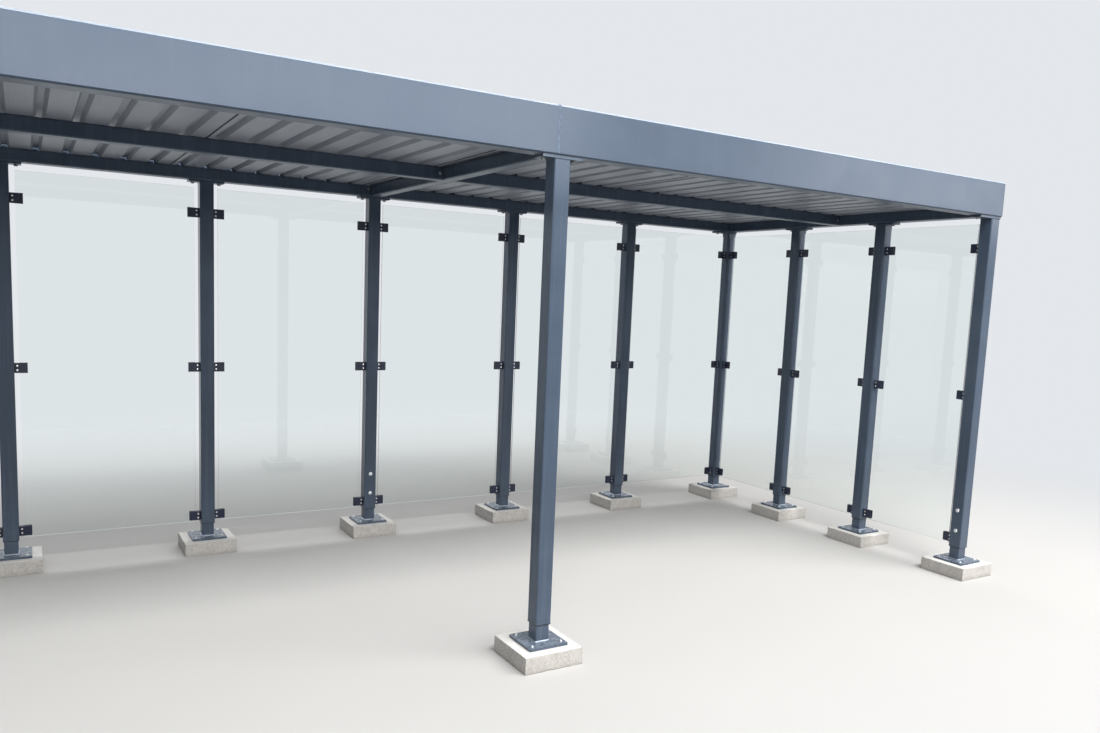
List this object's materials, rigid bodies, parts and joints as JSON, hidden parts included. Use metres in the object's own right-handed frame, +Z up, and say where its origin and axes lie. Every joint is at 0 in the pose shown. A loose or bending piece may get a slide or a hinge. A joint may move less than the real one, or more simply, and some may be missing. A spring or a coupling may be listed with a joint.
{
  "type": "bike shelter",
  "caption": "Open-fronted flat-roofed bike shelter: steel posts on concrete blocks, clear glass back and ends, ribbed sheet roof and a deep flat fascia.",
  "frame": {"origin": "on the ground, under the middle of the shelter's length and depth", "axes": "+X along the length, to the right as seen from the open front; +Y from the open front to the back; +Z up"},
  "size_m": [6.57, 2.64, 2.47],
  "materials": {
    "anthracite_steel": "anthracite grey powder coat, satin, on steel tube and folded sheet",
    "roof_sheet": "light grey coil-coated ribbed steel sheet",
    "concrete": "cast concrete, bare, with small pores",
    "clear_glass": "clear toughened glass with a faint green edge",
    "clamp_black": "black powder-coated cast clamp with rubber lining",
    "zinc_fixings": "zinc-plated bolts, nuts, washers and screws"
  },
  "bodies": {
    "root": {"front_adjustable_feet": "anthracite_steel", "front_beam_left": "anthracite_steel", "front_beam_right": "anthracite_steel", "front_concrete_blocks": "concrete", "front_fascia_left": "anthracite_steel", "front_fascia_right": "anthracite_steel", "front_post_1": "anthracite_steel", "front_post_2": "anthracite_steel", "front_post_3": "anthracite_steel", "left_end_beam": "anthracite_steel", "left_fascia": "anthracite_steel", "left_glass": "clear_glass", "left_glass_clamps": "clamp_black", "left_side_posts": "anthracite_steel", "middle_rafter": "anthracite_steel", "purlin_left": "anthracite_steel", "purlin_right": "anthracite_steel", "rear_adjustable_feet": "anthracite_steel", "rear_beam_left": "anthracite_steel", "rear_beam_right": "anthracite_steel", "rear_concrete_blocks": "concrete", "rear_fascia_left": "anthracite_steel", "rear_fascia_right": "anthracite_steel", "rear_glass_clamps": "clamp_black", "rear_glass_left": "clear_glass", "rear_glass_right": "clear_glass", "rear_post_1": "anthracite_steel", "rear_post_2": "anthracite_steel", "rear_post_3": "anthracite_steel", "rear_post_4": "anthracite_steel", "rear_post_5": "anthracite_steel", "rear_post_6": "anthracite_steel", "rear_post_7": "anthracite_steel", "right_end_beam": "anthracite_steel", "right_fascia": "anthracite_steel", "right_glass": "clear_glass", "right_glass_clamps": "clamp_black", "right_side_posts": "anthracite_steel", "roof_sheet_1": "roof_sheet", "roof_sheet_2": "roof_sheet", "roof_sheet_3": "roof_sheet", "roof_sheet_4": "roof_sheet", "roof_sheet_5": "roof_sheet", "roof_sheet_6": "roof_sheet", "side_adjustable_feet": "anthracite_steel", "side_concrete_blocks": "concrete"}
  },
  "joints": []
}
